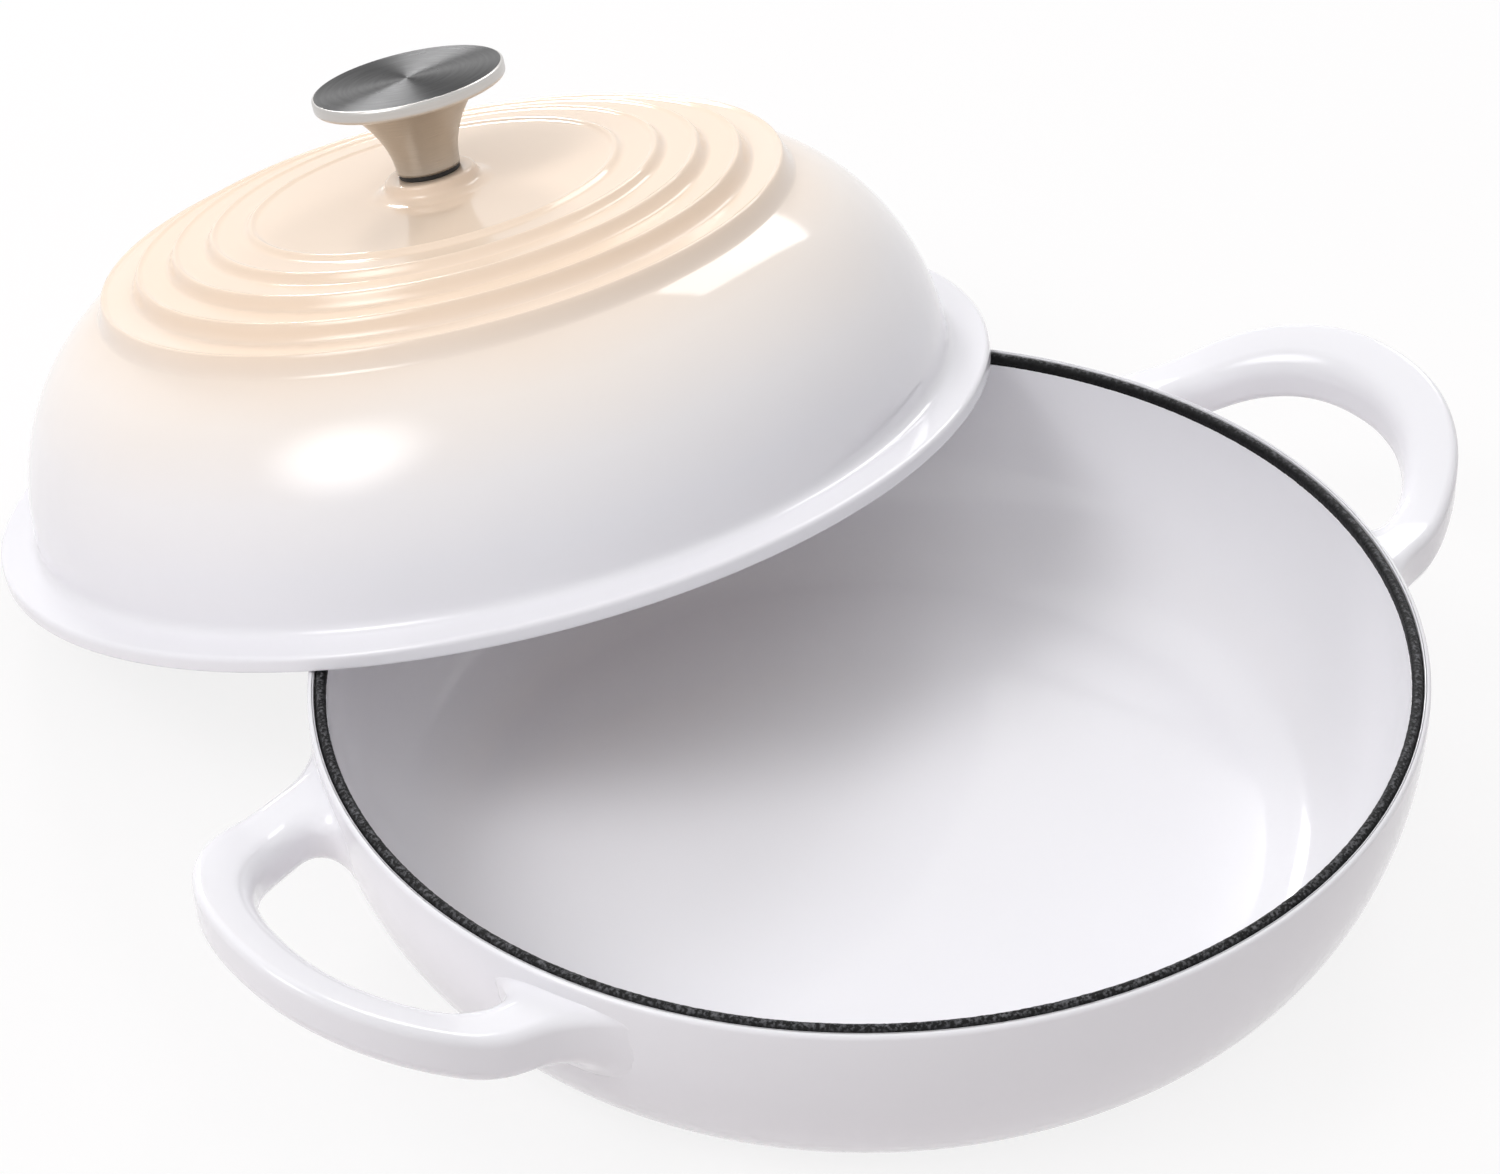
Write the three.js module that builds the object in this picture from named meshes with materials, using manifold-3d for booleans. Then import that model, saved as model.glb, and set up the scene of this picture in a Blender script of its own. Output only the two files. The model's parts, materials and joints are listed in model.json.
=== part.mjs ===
// A bread oven of enamelled cast iron: a shallow pan with two loop handles, and a tall domed lid with a knob.
// The lid is slid off towards +Y: it rests on the pan's rim at two points, with its low edge on the table.
// Millimetres, +Z up. The origin is the middle of the pan's base, on the table. The handles lie along X.
import * as THREE from "three";
import { mergeVertices } from "three/addons/utils/BufferGeometryUtils.js";
import Module from "manifold-3d";

const wasm = await Module();
wasm.setup();

// Pan
const RIM_RADIUS = 130; // outside of the pan at its rim
const RIM_WIDTH = 4.4; // wall at the rim
const PAN_HEIGHT = 58; // table to the middle of the rim's top face
const RIM_BAND_HEIGHT = 3; // bare iron band that tops the wall
const BASE_RADIUS = 97; // flat underside
const FLOOR_THICKNESS = 4.5;
const FLOOR_INSET = 2; // cooking floor's flat, less than the underside's
const SEAT_SLOPE = THREE.MathUtils.degToRad(13); // the rim's face falls outwards, which centres the lid

// Handles
const HANDLE_REACH = 43; // past the rim
const HANDLE_HALF_SPAN = 52; // middle of the handle to its outer side at the root
const HANDLE_WIDTH = 13; // band, seen from above
const HANDLE_HEIGHT = 13.5;
const HANDLE_EDGE = 4; // rounding of the band's edges
const HANDLE_DROP = 5.1; // top of the band below the rim, at the root
const HANDLE_RISE = 15; // the band climbs this much on its way out
const HANDLE_LEVEL = 3.5; // the band is level this far past the lid's flange
const HANDLE_SQUARENESS = 2.2; // 2 would be an ellipse in plan
const ROOT_DEPTH = 14; // how far behind the rim line the loop starts

// Lid
const LID_OVERHANG = 1; // flange past the rim
const FLANGE_WIDTH = 10;
const FLANGE_EDGE = 4; // height of the flange's outer face
const FLANGE_RISE = 1; // the flange's top climbs towards the dome
const LID_WALL = 4.2;
const CROWN_HEIGHT = 71; // flat of the crown above the flange's lower edge
const SHOULDER_CENTRE = 68; // radius about which the dome's side is rounded
const INNER_SQUARENESS = 2.7; // 2 would be an ellipse inside the dome
const RIDGE_COUNT = 5;
const RIDGE_FIRST_RADIUS = 48.5;
const RIDGE_PITCH = 10.3;
const RIDGE_WIDTH = 3.2;
const RIDGE_LIP = 0.7; // each ridge stands above the terrace inside it
const TERRACE_FALL = 14; // crown's flat to the terrace outside the last ridge
const BOSS_RADIUS = 11.5;
const BOSS_HEIGHT = 3.8;
const BOSS_FLARE = 4; // the boss spreads this much at its foot

// Knob and its screw
const KNOB_HEIGHT = 25; // boss to the top of the cap
const CAP_RADIUS = 24.7;
const CAP_EDGE = 3.4;
const CAP_UNDERCUT = 1.4; // the cap's underside climbs towards its edge
const CAP_CHAMFER = 0.9;
const STEM_FOOT_RADIUS = 8.2;
const STEM_TOP_RADIUS = 17;
const STEM_CURVE = 2; // 1 would be a straight cone
const SPIGOT_RADIUS = 6; // stem's spigot inside the cap
const SPIGOT_HEIGHT = 1.8;
const GASKET_THICKNESS = 0.7;
const GASKET_INSET = 0.3; // the gasket lies back from the stem's foot
const SCREW_RADIUS = 2.5;
const SCREW_BITE = 10; // thread inside the stem
const SCREW_HEAD_RADIUS = 4.8;
const SCREW_HEAD_HEIGHT = 3.2;
const SCREW_SOCKET_RADIUS = 2.3; // hexagon, to its corners
const SCREW_SOCKET_DEPTH = 1.8;
const WASHER_RADIUS = 8.5;
const WASHER_THICKNESS = 1.2;

// Clearances
const FIT = 0.3; // between neighbours
const SEAT_GAP = 0.3; // lid to rim, square to the seat
const TABLE_GAP = 0.2; // lid's low edge to the table

// Facets
const ROUND = 56;
const KNOB_ROUND = 32;
const ARC_STEPS = 8;
const HANDLE_STEPS = 22;
const EDGE_STEPS = 2;
const HEXAGON = 6;

// Seat: the rim's face and the lid's underside are cones that touch one sphere about the pan's axis,
// so that the lid slides over the rim at a steady gap as it turns about that sphere's centre.
const RIM_INNER = RIM_RADIUS - RIM_WIDTH;
const SEAT_RADIUS = RIM_RADIUS - RIM_WIDTH / 2;
const SLIDE_CENTRE = PAN_HEIGHT - SEAT_RADIUS / Math.tan(SEAT_SLOPE);
const rimHeight = (radius) => PAN_HEIGHT - (radius - SEAT_RADIUS) * Math.tan(SEAT_SLOPE);
const seatHeight = (radius) => rimHeight(radius) + SEAT_GAP / Math.cos(SEAT_SLOPE);

// Lid heights, with the lid closed
const LID_RADIUS = RIM_RADIUS + LID_OVERHANG;
const LID_FOOT = seatHeight(LID_RADIUS);
const CROWN = LID_FOOT + CROWN_HEIGHT;
const CEILING = CROWN - LID_WALL;
const BOSS_TOP = CROWN + BOSS_HEIGHT;
const SCREW_HOLE_RADIUS = SCREW_RADIUS + FIT;

// Lean: the turn about the slide's centre that brings the flange's low edge down to the table
const EDGE_RISE = LID_FOOT - SLIDE_CENTRE;
const EDGE_REACH = Math.hypot(EDGE_RISE, LID_RADIUS);
const LEAN = Math.acos((TABLE_GAP - SLIDE_CENTRE) / EDGE_REACH) - Math.atan2(LID_RADIUS, EDGE_RISE);

const enamel = { color: 0xf2f0f3, roughness: 0.12, metalness: 0 };
const creamEnamel = { color: 0xf6e8da, roughness: 0.12, metalness: 0 };
const bareIron = { color: 0x1c1c1e, roughness: 0.75, metalness: 0.4 };
const steel = { color: 0xb4b1ac, roughness: 0.3, metalness: 1 };
const rubber = { color: 0x18181a, roughness: 0.8, metalness: 0 };

function piece(name, geometry, finish) {
  const mesh = new THREE.Mesh(geometry, new THREE.MeshStandardMaterial(finish));
  mesh.name = name;
  return mesh;
}

// Turns [radius, height] points about Z. The outside runs upwards.
function turned(profile, facets) {
  const points = profile.map(([radius, height]) => new THREE.Vector2(radius, height));
  return new THREE.LatheGeometry(points, facets).rotateX(Math.PI / 2);
}

function turnedRing(profile, facets) {
  return turned([...profile, profile[0]], facets);
}

function washerRing(inner, outer, low, high, facets) {
  return turnedRing([[inner, low], [outer, low], [outer, high], [inner, high]], facets);
}

function toSolid(geometry) {
  const bare = geometry.clone();
  bare.deleteAttribute("normal");
  bare.deleteAttribute("uv");
  const merged = mergeVertices(bare);
  const corners = merged.index.array;
  const kept = [];
  for (let i = 0; i < corners.length; i += 3) {
    const [a, b, c] = corners.slice(i, i + 3);
    if (a !== b && b !== c && c !== a) kept.push(a, b, c);
  }
  const vertProperties = new Float32Array(merged.attributes.position.array);
  const mesh = new wasm.Mesh({ numProp: 3, vertProperties, triVerts: new Uint32Array(kept) });
  return new wasm.Manifold(mesh);
}

function toGeometry(solid) {
  const mesh = solid.getMesh();
  const geometry = new THREE.BufferGeometry();
  geometry.setAttribute("position", new THREE.BufferAttribute(mesh.vertProperties, 3));
  geometry.setIndex(new THREE.BufferAttribute(mesh.triVerts, 1));
  geometry.computeVertexNormals();
  return geometry;
}

// Quarter ellipse from the underside or floor up to the foot of the rim's band
function wallArc(flatRadius, topRadius, low) {
  const high = PAN_HEIGHT - RIM_BAND_HEIGHT;
  return Array.from({ length: ARC_STEPS + 1 }, (_, step) => {
    const turn = (Math.PI / 2) * (1 - step / ARC_STEPS);
    const radius = flatRadius + (topRadius - flatRadius) * Math.cos(turn);
    return [radius, high - (high - low) * Math.sin(turn)];
  });
}

function pan() {
  const outside = wallArc(BASE_RADIUS, RIM_RADIUS, 0);
  const inside = wallArc(BASE_RADIUS - FLOOR_INSET, RIM_INNER, FLOOR_THICKNESS).reverse();
  return turned([[0, 0], ...outside, ...inside, [0, FLOOR_THICKNESS]], ROUND);
}

function rimBand() {
  const foot = PAN_HEIGHT - RIM_BAND_HEIGHT;
  return turnedRing([
    [RIM_INNER, foot],
    [RIM_RADIUS, foot],
    [RIM_RADIUS, rimHeight(RIM_RADIUS)],
    [RIM_INNER, rimHeight(RIM_INNER)],
  ], ROUND);
}

// One side of the handle's band in plan, a superellipse from one root to the other
function handleSide(halfSpan, reach) {
  const start = RIM_RADIUS - ROOT_DEPTH;
  const power = 2 / HANDLE_SQUARENESS;
  return Array.from({ length: HANDLE_STEPS + 1 }, (_, step) => {
    const turn = Math.PI * (step / HANDLE_STEPS - 0.5);
    const along = Math.abs(Math.cos(turn)) ** power;
    const across = Math.sign(turn) * Math.abs(Math.sin(turn)) ** power;
    return new THREE.Vector2(start + (RIM_RADIUS + reach - start) * along, halfSpan * across);
  });
}

// The band is level where the lid's flange passes over it, and climbs in a straight line to its far end.
function climb(geometry) {
  const place = geometry.attributes.position;
  const start = LID_RADIUS + HANDLE_LEVEL;
  const run = RIM_RADIUS + HANDLE_REACH - start;
  for (let i = 0; i < place.count; i += 1) {
    const share = Math.max(0, (place.getX(i) - start) / run);
    place.setZ(i, place.getZ(i) + HANDLE_RISE * share);
  }
  return geometry;
}

function handle() {
  const outer = handleSide(HANDLE_HALF_SPAN, HANDLE_REACH);
  const inner = handleSide(HANDLE_HALF_SPAN - HANDLE_WIDTH, HANDLE_REACH - HANDLE_WIDTH).reverse();
  const band = new THREE.ExtrudeGeometry(new THREE.Shape([...outer, ...inner]), {
    depth: HANDLE_HEIGHT - 2 * HANDLE_EDGE,
    bevelThickness: HANDLE_EDGE,
    bevelSize: HANDLE_EDGE,
    bevelOffset: -HANDLE_EDGE,
    bevelSegments: EDGE_STEPS,
  });
  band.translate(0, 0, PAN_HEIGHT - HANDLE_DROP - HANDLE_HEIGHT + HANDLE_EDGE);
  const cutter = turned([
    [0, 0],
    ...wallArc(BASE_RADIUS + FIT, RIM_RADIUS + FIT, 0),
    [RIM_RADIUS + FIT, PAN_HEIGHT + HANDLE_HEIGHT],
    [0, PAN_HEIGHT + HANDLE_HEIGHT],
  ], ROUND);
  return toGeometry(toSolid(climb(band)).subtract(toSolid(cutter)));
}

// Terrace 0 is the crown's flat. Each next one lies outside one more ridge and falls faster.
function terraceHeight(index) {
  return CROWN - TERRACE_FALL * (index / RIDGE_COUNT) ** 2;
}

// From the outside of a ridge to its inside
function ridge(index) {
  const radius = RIDGE_FIRST_RADIUS + RIDGE_PITCH * (index - 1);
  const inside = terraceHeight(index - 1);
  return [
    [radius + RIDGE_WIDTH / 2, terraceHeight(index)],
    [radius, inside + RIDGE_LIP / 2],
    [radius - RIDGE_WIDTH / 4, inside + RIDGE_LIP],
    [radius - RIDGE_WIDTH, inside],
  ];
}

// Dome's side, an ellipse from the flange up to the outside of the last ridge
function domeSide() {
  const foot = LID_FOOT + FLANGE_EDGE + FLANGE_RISE;
  const reach = LID_RADIUS - FLANGE_WIDTH - SHOULDER_CENTRE;
  const [topRadius, top] = ridge(RIDGE_COUNT)[0];
  const last = Math.acos((topRadius - SHOULDER_CENTRE) / reach);
  const rise = (top - foot) / Math.sin(last);
  return Array.from({ length: ARC_STEPS }, (_, step) => {
    const turn = (last * step) / ARC_STEPS;
    return [SHOULDER_CENTRE + reach * Math.cos(turn), foot + rise * Math.sin(turn)];
  });
}

// Inside of the dome, from the pad under the boss down to the flange
function domeInside() {
  const radius = LID_RADIUS - FLANGE_WIDTH - LID_WALL;
  const foot = seatHeight(radius);
  const power = 2 / INNER_SQUARENESS;
  return Array.from({ length: ARC_STEPS }, (_, step) => {
    const turn = (Math.PI / 2) * ((step + 1) / ARC_STEPS);
    const climbed = Math.abs(Math.cos(turn)) ** power;
    return [radius * Math.sin(turn) ** power, foot + (CEILING - foot) * climbed];
  });
}

function dome() {
  const ridges = Array.from({ length: RIDGE_COUNT }, (_, step) => ridge(RIDGE_COUNT - step)).flat();
  return turnedRing([
    [LID_RADIUS, LID_FOOT],
    [LID_RADIUS, LID_FOOT + FLANGE_EDGE],
    ...domeSide(),
    ...ridges,
    [BOSS_RADIUS + BOSS_FLARE, CROWN],
    [BOSS_RADIUS + BOSS_FLARE / 4, CROWN + BOSS_HEIGHT / 4],
    [BOSS_RADIUS, BOSS_TOP],
    [SCREW_HOLE_RADIUS, BOSS_TOP],
    [SCREW_HOLE_RADIUS, CEILING],
    [WASHER_RADIUS + FIT, CEILING],
    ...domeInside(),
  ], ROUND);
}

// Heights along the knob's axis, from the boss up
const STEM_FOOT = BOSS_TOP + FIT + GASKET_THICKNESS + FIT;
const CAP_TOP = BOSS_TOP + KNOB_HEIGHT;
const CAP_FOOT = CAP_TOP - CAP_EDGE - CAP_UNDERCUT;
const STEM_TOP = CAP_FOOT - FIT;

function gasket() {
  const low = BOSS_TOP + FIT;
  const outer = STEM_FOOT_RADIUS - GASKET_INSET;
  return washerRing(SCREW_HOLE_RADIUS, outer, low, low + GASKET_THICKNESS, KNOB_ROUND);
}

// The stem flares from its foot to the cap, slowly at first.
function stem() {
  const flare = Array.from({ length: ARC_STEPS + 1 }, (_, step) => {
    const share = step / ARC_STEPS;
    const radius = STEM_FOOT_RADIUS + (STEM_TOP_RADIUS - STEM_FOOT_RADIUS) * share ** STEM_CURVE;
    return [radius, STEM_FOOT + (STEM_TOP - STEM_FOOT) * share];
  });
  const threadTop = STEM_FOOT + SCREW_BITE + FIT;
  return turned([
    [0, threadTop],
    [SCREW_HOLE_RADIUS, threadTop],
    [SCREW_HOLE_RADIUS, STEM_FOOT],
    ...flare,
    [SPIGOT_RADIUS, STEM_TOP],
    [SPIGOT_RADIUS, STEM_TOP + SPIGOT_HEIGHT],
    [0, STEM_TOP + SPIGOT_HEIGHT],
  ], KNOB_ROUND);
}

function cap() {
  const socketTop = STEM_TOP + SPIGOT_HEIGHT + FIT;
  const edgeFoot = CAP_TOP - CAP_EDGE;
  return turned([
    [0, socketTop],
    [SPIGOT_RADIUS + FIT, socketTop],
    [SPIGOT_RADIUS + FIT, CAP_FOOT],
    [STEM_TOP_RADIUS, CAP_FOOT],
    [CAP_RADIUS - CAP_CHAMFER, edgeFoot],
    [CAP_RADIUS, edgeFoot + CAP_CHAMFER],
    [CAP_RADIUS, CAP_TOP - CAP_CHAMFER],
    [CAP_RADIUS - CAP_CHAMFER, CAP_TOP],
    [0, CAP_TOP],
  ], KNOB_ROUND);
}

const WASHER_FOOT = CEILING - FIT - WASHER_THICKNESS;

function washer() {
  return washerRing(SCREW_HOLE_RADIUS, WASHER_RADIUS, WASHER_FOOT, CEILING - FIT, KNOB_ROUND);
}

function screw() {
  const headTop = WASHER_FOOT - FIT;
  const headFoot = headTop - SCREW_HEAD_HEIGHT;
  const shank = turned([
    [0, headFoot],
    [SCREW_HEAD_RADIUS, headFoot],
    [SCREW_HEAD_RADIUS, headTop],
    [SCREW_RADIUS, headTop],
    [SCREW_RADIUS, STEM_FOOT + SCREW_BITE],
    [0, STEM_FOOT + SCREW_BITE],
  ], KNOB_ROUND);
  const socketFoot = headFoot - SCREW_SOCKET_DEPTH;
  const socket = turned([
    [0, socketFoot],
    [SCREW_SOCKET_RADIUS, socketFoot],
    [SCREW_SOCKET_RADIUS, headFoot + SCREW_SOCKET_DEPTH],
    [0, headFoot + SCREW_SOCKET_DEPTH],
  ], HEXAGON);
  return toGeometry(toSolid(shank).subtract(toSolid(socket)));
}

const lid = new THREE.Group();
lid.position.z = -SLIDE_CENTRE;
lid.add(
  piece("lid_dome", dome(), creamEnamel),
  piece("knob_gasket", gasket(), rubber),
  piece("knob_stem", stem(), steel),
  piece("knob_cap", cap(), steel),
  piece("knob_washer", washer(), steel),
  piece("knob_screw", screw(), steel),
);

const slidOff = new THREE.Group();
slidOff.position.z = SLIDE_CENTRE;
slidOff.rotation.x = -LEAN;
slidOff.add(lid);

const rightHandle = piece("handle_right", handle(), enamel);
const leftHandle = piece("handle_left", handle(), enamel);
leftHandle.rotation.z = Math.PI;

const oven = new THREE.Group();
oven.add(piece("base_pan", pan(), enamel), piece("base_rim", rimBand(), bareIron));
oven.add(rightHandle, leftHandle, slidOff);

export default oven;
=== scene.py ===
import json
import math
import bpy
import numpy as np
from mathutils import Matrix, Vector


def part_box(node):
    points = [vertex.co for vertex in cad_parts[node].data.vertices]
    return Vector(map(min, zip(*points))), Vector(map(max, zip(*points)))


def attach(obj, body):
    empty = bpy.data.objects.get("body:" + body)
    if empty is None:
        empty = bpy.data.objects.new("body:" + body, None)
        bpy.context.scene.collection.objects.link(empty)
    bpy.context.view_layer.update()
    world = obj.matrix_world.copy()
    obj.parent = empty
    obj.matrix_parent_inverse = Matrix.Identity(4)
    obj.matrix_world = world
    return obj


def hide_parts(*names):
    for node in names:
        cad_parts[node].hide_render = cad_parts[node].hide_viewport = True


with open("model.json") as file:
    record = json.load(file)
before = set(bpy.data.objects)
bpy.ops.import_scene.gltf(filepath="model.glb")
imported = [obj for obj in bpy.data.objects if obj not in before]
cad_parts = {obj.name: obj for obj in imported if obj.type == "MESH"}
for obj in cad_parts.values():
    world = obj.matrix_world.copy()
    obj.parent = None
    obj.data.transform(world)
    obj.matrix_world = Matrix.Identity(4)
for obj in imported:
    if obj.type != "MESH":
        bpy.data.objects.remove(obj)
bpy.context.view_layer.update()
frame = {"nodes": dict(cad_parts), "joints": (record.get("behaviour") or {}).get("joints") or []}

MM = 0.001

# Pan
RIM_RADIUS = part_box("base_rim")[1].x
BASE_RADIUS = 97 * MM
WALL_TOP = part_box("base_pan")[1].z
RIM_WIDTH = 4.4 * MM
FLOOR_THICKNESS = 4.5 * MM
FLOOR_INSET = 2 * MM
RIM_INNER = RIM_RADIUS - RIM_WIDTH
LIP_DROP = 0.1 * MM
LIP_ROUNDING = 1 * MM
INNER_LIP_JOIN = 2 * MM

# Bare bead on the rim, and the enamel that borders it
BAND_OUTER = RIM_RADIUS - 1.5 * MM
BAND_DEPTH = 2.8 * MM
BAND_BED = 1 * MM
BEAD_FALL = 1.1 * MM
BEAD_CURVE = 2.4
BEAD_SINK = 0.8 * MM
BEAD_PROUD = 0.05 * MM
SAND_GRAIN = 0.9 * MM
SAND_DEPTH = 0.35 * MM
ENAMEL_EDGE = 0.6 * MM
ENAMEL_ROLL = 0.2 * MM
ENAMEL_ROUNDING = 0.4 * MM

# Slide of the lid, and the seat that it follows
slide = frame["joints"][0]
PIVOT = Vector(slide["pos_m"])
LEAN = math.radians(slide["range_deg"][1])
LEANING = Matrix.Translation(PIVOT) @ Matrix.Rotation(-LEAN, 4, "X") @ Matrix.Translation(-PIVOT)
SEAT_SLOPE = math.radians(13)
SEAT_GAP = 0.3 * MM
SEAT_RADIUS = RIM_RADIUS - RIM_WIDTH / 2
RIM_MIDDLE = PIVOT.z + SEAT_RADIUS / math.tan(SEAT_SLOPE)

# Lid, closed
LID_RADIUS = RIM_RADIUS + 1 * MM
FLANGE_WIDTH = 10 * MM
FLANGE_EDGE = 4 * MM
FLANGE_RISE = 1 * MM
FLANGE_FOOT_ROUNDING = 0.8 * MM
FLANGE_TOP_ROUNDING = 1.3 * MM
FLANGE_FILLET = 2.6 * MM
LID_WALL = 4.2 * MM
CROWN_HEIGHT = 71 * MM
SHOULDER_CENTRE = 68 * MM
INNER_SQUARENESS = 2.7
RIDGE_COUNT = 5
RIDGE_FIRST_RADIUS = 48.5 * MM
RIDGE_PITCH = 10.3 * MM
RIDGE_WIDTH = 3.2 * MM
RIDGE_LIP = 0.7 * MM
RIDGE_LIP_BACK = 0.35
RIDGE_LIP_SPREAD = 0.32
TERRACE_FALL = 14 * MM
BOSS_RADIUS = 11.5 * MM
BOSS_HEIGHT = 3.8 * MM
BOSS_FLARE = 4 * MM
BOSS_MARGIN = 3 * MM
BOSS_FOOT_ROUNDING = 1.2 * MM
BOSS_SIDE_ROUNDING = 1 * MM
BOSS_TOP_ROUNDING = 0.8 * MM

# Handles
HANDLE_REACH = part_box("handle_right")[1].x - RIM_RADIUS
HANDLE_HALF_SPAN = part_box("handle_right")[1].y
HANDLE_WIDTH = 13 * MM
HANDLE_HEIGHT = 13.5 * MM
HANDLE_DROP = 5.1 * MM
HANDLE_RISE = 15 * MM
HANDLE_LEVEL = 3.5 * MM
HANDLE_SQUARENESS = 2.2
CLIMB_BEND = 0.3
BAND_ROUNDINGS = (2.6 * MM, 4.6 * MM, 5.2 * MM, 4.4 * MM)
ROOT_DEPTH = 14 * MM
ROOT_FILLET = 11 * MM
ROOT_SINK = 0.8 * MM
ROOT_BLEND = 0.06 * MM
ROOT_LIFT = 0.06
ROOT_SQUARE_ON = 0.2

# Knob
KNOB_HEIGHT = 25 * MM
CAP_RADIUS = 24.7 * MM
CAP_EDGE = 3.4 * MM
CAP_UNDERCUT = 1.4 * MM
CAP_ROUNDING = 0.9 * MM
CAP_FOOT_ROUNDING = 0.3 * MM
TOP_FACING = 0.995
STEM_FOOT_RADIUS = 8.2 * MM
STEM_TOP_RADIUS = 17 * MM
STEM_CURVE = 2
STEM_FOOT_EDGE = 0.4 * MM
GASKET_THICKNESS = 0.7 * MM
GASKET_INSET = 0.3 * MM
GASKET_ROUNDING = 0.2 * MM
SCREW_HOLE_RADIUS = 2.8 * MM
FIT = 0.3 * MM

# Facets
ROUND = 256
KNOB_ROUND = 128
RIM_ROUND = 1400
WELD = 1e-6

# Finishes
WHITE = (0.865, 0.857, 0.893, 1)
LID_FADE = (
    (0.3, (0.86, 0.85, 0.89, 1)),
    (0.52, (0.885, 0.86, 0.87, 1)),
    (0.74, (0.91, 0.835, 0.78, 1)),
    (0.95, (0.88, 0.71, 0.565, 1)),
)
LID_FADE_DRIFT = 6 * MM
IRON_DARK = (0.002, 0.002, 0.0024, 1)
IRON_LIGHT = (0.01, 0.01, 0.011, 1)
# Lighter grey for the bead's middle: a painted highlight along its crown.
IRON_PAINTED_SHEEN = (0.13, 0.13, 0.14, 1)
FIBRE_DARK = (0.01, 0.01, 0.01, 1)
FIBRE_LIGHT = (0.03, 0.028, 0.027, 1)
# Near-black for the cap's top: painted dark reflection. The steel's own colour is the edge's.
CAP_TOP_PAINTED_DARK = (0.03, 0.03, 0.031, 1)
CAP_EDGE_STEEL = (0.58, 0.56, 0.54, 1)
STEM_STEEL = (0.52, 0.48, 0.43, 1)
SCREW_STEEL_DARK = (0.5, 0.49, 0.48, 1)
SCREW_STEEL_LIGHT = (0.62, 0.61, 0.6, 1)
FLOOR_MATT = (0.84, 0.8, 0.805, 1)
PURE_WHITE = (1, 1, 1, 1)

# Studio, in metres
CAMERA_HEADING = math.radians(36.87)
CAMERA_PITCH = math.radians(37.05)
CAMERA_ROLL = math.radians(-2.11)
CAMERA_PLACE = Vector((-0.4474, -0.5524, 0.6131))
CAMERA_LENS = 93
CAMERA_SENSOR = 36
CAMERA_NEAR = 0.01
FLOOR_SIZE = 8
FLOOR_FADE_START = 0.3
FLOOR_FADE_END = 1.5
LID_SIDE = (0, 0.1, 0.05)
PAN_INSIDE = (0, 0, 0.03)
KNOB_TOP = (0, 0.18, 0.13)


def rim_height(radius):
    return RIM_MIDDLE - (radius - SEAT_RADIUS) * math.tan(SEAT_SLOPE)


def seat_height(radius):
    return rim_height(radius) + SEAT_GAP / math.cos(SEAT_SLOPE)


LID_FOOT = seat_height(LID_RADIUS)
FLANGE_TOP = LID_FOOT + FLANGE_EDGE
DOME_FOOT = FLANGE_TOP + FLANGE_RISE
DOME_RADIUS = LID_RADIUS - FLANGE_WIDTH
HOLLOW_RADIUS = DOME_RADIUS - LID_WALL
CROWN = LID_FOOT + CROWN_HEIGHT
CEILING = CROWN - LID_WALL
BOSS_TOP = CROWN + BOSS_HEIGHT
CAP_TOP = BOSS_TOP + KNOB_HEIGHT
CAP_EDGE_FOOT = CAP_TOP - CAP_EDGE
CAP_FOOT = CAP_EDGE_FOOT - CAP_UNDERCUT
STEM_FOOT = BOSS_TOP + FIT + GASKET_THICKNESS + FIT


# Node trees

def put(tree, kind, inputs=None, **settings):
    """Adds a node. Each input is a value, or another node's socket to link from."""
    node = tree.nodes.new(kind)
    for name, value in settings.items():
        setattr(node, name, value)
    for name, value in (inputs or {}).items():
        if isinstance(value, bpy.types.NodeSocket):
            tree.links.new(value, node.inputs[name])
        else:
            node.inputs[name].default_value = value
    return node


def maths(tree, operation, *values):
    return put(tree, "ShaderNodeMath", dict(enumerate(values)), operation=operation).outputs[0]


def whole_maths(tree, operation, *values):
    inputs = dict(enumerate(values))
    return put(tree, "FunctionNodeIntegerMath", inputs, operation=operation).outputs[0]


def scaled(tree, vector, scale):
    inputs = {0: vector, "Scale": scale}
    return put(tree, "ShaderNodeVectorMath", inputs, operation="SCALE").outputs[0]


def length(tree, vector):
    return put(tree, "ShaderNodeVectorMath", {0: vector}, operation="LENGTH").outputs["Value"]


def spread_over(tree, value, low=0.0, high=1.0, to_low=0.0, to_high=1.0, kind="LINEAR"):
    """Maps a value from low..high to to_low..to_high."""
    inputs = {"Value": value, "From Min": low, "From Max": high, "To Min": to_low, "To Max": to_high}
    return put(tree, "ShaderNodeMapRange", inputs, interpolation_type=kind).outputs[0]


def noise(tree, vector, scale, detail):
    inputs = {"Vector": vector, "Scale": scale, "Detail": detail}
    return put(tree, "ShaderNodeTexNoise", inputs).outputs["Fac"]


def mixed_colour(tree, share, first, second):
    inputs = {"Factor": share, 6: first, 7: second}
    return put(tree, "ShaderNodeMix", inputs, data_type="RGBA").outputs[2]


def object_place(tree):
    return put(tree, "ShaderNodeTexCoord").outputs["Object"]


def new_tree(name, kind, inputs, outputs):
    """A node group with named sockets. Returns it with its input and output nodes."""
    tree = bpy.data.node_groups.new(name, kind)
    for socket_name, socket_kind, value in inputs:
        socket = tree.interface.new_socket(socket_name, in_out="INPUT", socket_type=socket_kind)
        if value is not None:
            socket.default_value = value
    for socket_name, socket_kind in outputs:
        tree.interface.new_socket(socket_name, in_out="OUTPUT", socket_type=socket_kind)
    given = tree.nodes.new("NodeGroupInput").outputs
    return tree, given, tree.nodes.new("NodeGroupOutput").inputs


def end_tree(tree, geometry, given, out):
    real = put(tree, "GeometryNodeRealizeInstances", {"Geometry": geometry})
    dressed = put(tree, "GeometryNodeSetMaterial",
                  {"Geometry": real.outputs[0], "Material": given["Material"]})
    tree.links.new(dressed.outputs[0], out["Geometry"])


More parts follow.
